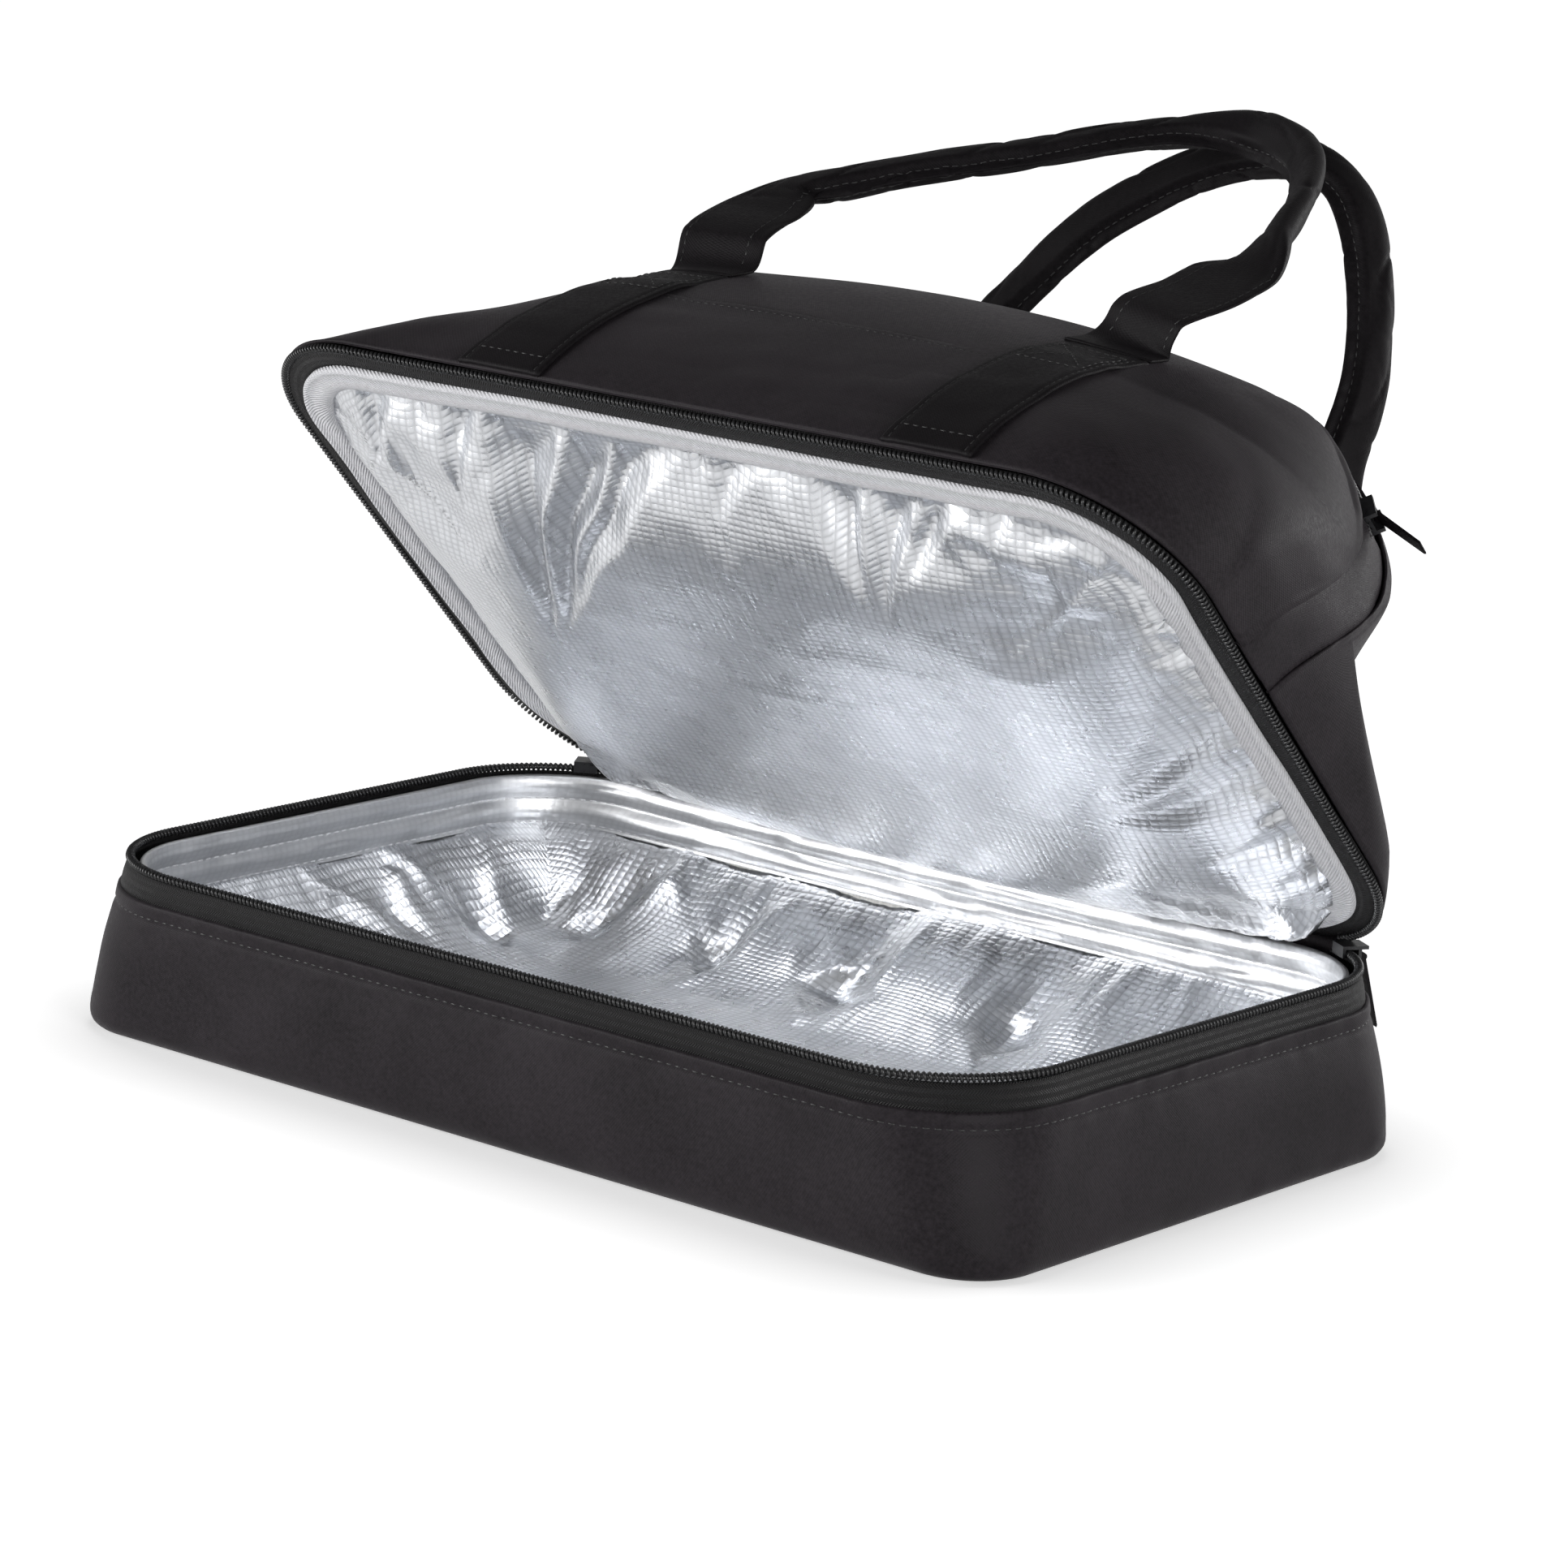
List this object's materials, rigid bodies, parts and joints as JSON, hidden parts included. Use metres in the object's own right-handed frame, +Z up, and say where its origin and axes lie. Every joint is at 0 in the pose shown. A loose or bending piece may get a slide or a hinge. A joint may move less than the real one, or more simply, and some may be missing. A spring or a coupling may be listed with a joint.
{
  "type": "casserole carrier",
  "caption": "Soft insulated carrier: a foil-lined tray for a baking dish, a zip-off upper compartment hinged along the back, and paired strap handles.",
  "frame": {"origin": "centre of the flat underside of the tray", "axes": "+Z up, +X to the right-hand end, +Y to the hinged rear side"},
  "size_m": [0.4184, 0.3579, 0.3413],
  "materials": {
    "black_polyester": "satin woven black polyester",
    "strap_webbing": "folded black polyester strap, topstitched",
    "zip_tape": "black herringbone tape",
    "zip_coil": "black nylon coil",
    "silver_foil": "embossed metallised film, bright silver",
    "white_binding": "white twill binding",
    "foam": "closed-cell foam, hidden",
    "floor_board": "plain stiffener board, hidden",
    "slider_metal": "black enamelled zinc",
    "pull_tab": "folded black tape tab"
  },
  "bodies": {
    "base": {"base_bottom_panel": "black_polyester", "base_wall": "black_polyester", "base_board": "floor_board", "base_floor_foam": "foam", "base_wall_foam": "foam", "base_liner_wall": "silver_foil", "base_liner_floor": "silver_foil", "base_zip_tape": "zip_tape", "base_zip_coil": "zip_coil", "base_hinge_strip": "black_polyester"},
    "upper": {"upper_front_panel": "black_polyester", "upper_rear_panel": "black_polyester", "front_pocket": "black_polyester", "right_end_gusset": "black_polyester", "left_end_gusset": "black_polyester", "top_zip_tape_front": "zip_tape", "top_zip_tape_rear": "zip_tape", "top_zip_coil": "zip_coil", "divider_foam": "foam", "lid_liner": "silver_foil", "lid_binding": "white_binding", "lid_zip_tape": "zip_tape", "lid_zip_coil": "zip_coil", "lid_hinge_strip": "black_polyester", "front_strap_left": "strap_webbing", "front_strap_right": "strap_webbing", "rear_strap_left": "strap_webbing", "rear_strap_right": "strap_webbing"},
    "front_grip": {"front_handle": "strap_webbing"},
    "rear_grip": {"rear_handle": "strap_webbing"},
    "top_slider": {"top_zip_slider": "slider_metal"},
    "top_pull": {"top_zip_pull": "pull_tab"},
    "slider_left": {"main_zip_slider_left": "slider_metal"},
    "pull_left": {"main_zip_pull_left": "pull_tab"},
    "slider_right": {"main_zip_slider_right": "slider_metal"},
    "pull_right": {"main_zip_pull_right": "pull_tab"}
  },
  "joints": [
    {"name": "lid_hinge", "type": "hinge", "parent": "base", "child": "upper", "pos_m": [0, 0.126, 0.0645], "axis": [-1, 0, 0], "range_deg": [-44.5, 80.5]},
    {"name": "front_handle_swing", "type": "hinge", "parent": "upper", "child": "front_grip", "pos_m": [0.01854, 0.04502, 0.2756], "axis": [0.9999, -0.0103, -0.0108], "range_deg": [0, 136]},
    {"name": "rear_handle_swing", "type": "hinge", "parent": "upper", "child": "rear_grip", "pos_m": [0.01854, 0.1499, 0.17254], "axis": [-0.9999, 0.0106, 0.0105], "range_deg": [0, 110]},
    {"name": "top_slider_run", "type": "hinge", "parent": "upper", "child": "top_slider", "pos_m": [0.09762, 0.05656, 0.17361], "axis": [0, -0.7132, 0.7009], "range_deg": [0, 17.5]},
    {"name": "top_pull_flip", "type": "hinge", "parent": "top_slider", "child": "top_pull", "pos_m": [0.18426, 0.10542, 0.22332], "axis": [0, -0.7132, 0.7009], "range_deg": [-28, 110]},
    {"name": "left_slider_run", "type": "hinge", "parent": "base", "child": "slider_left", "pos_m": [-0.148, 0.077, 0.0665], "axis": [0, 0, 1], "range_deg": [0, 50]},
    {"name": "left_pull_flip", "type": "hinge", "parent": "slider_left", "child": "pull_left", "pos_m": [-0.17889, 0.12644, 0.0639], "axis": [0.848, 0.5299, 0], "range_deg": [-5, 110]},
    {"name": "right_slider_run", "type": "hinge", "parent": "base", "child": "slider_right", "pos_m": [0.148, 0.077, 0.0665], "axis": [0, 0, -1], "range_deg": [0, 50]},
    {"name": "right_pull_flip", "type": "hinge", "parent": "slider_right", "child": "pull_right", "pos_m": [0.17889, 0.12644, 0.0639], "axis": [0.848, -0.5299, 0], "range_deg": [-5, 110]}
  ]
}
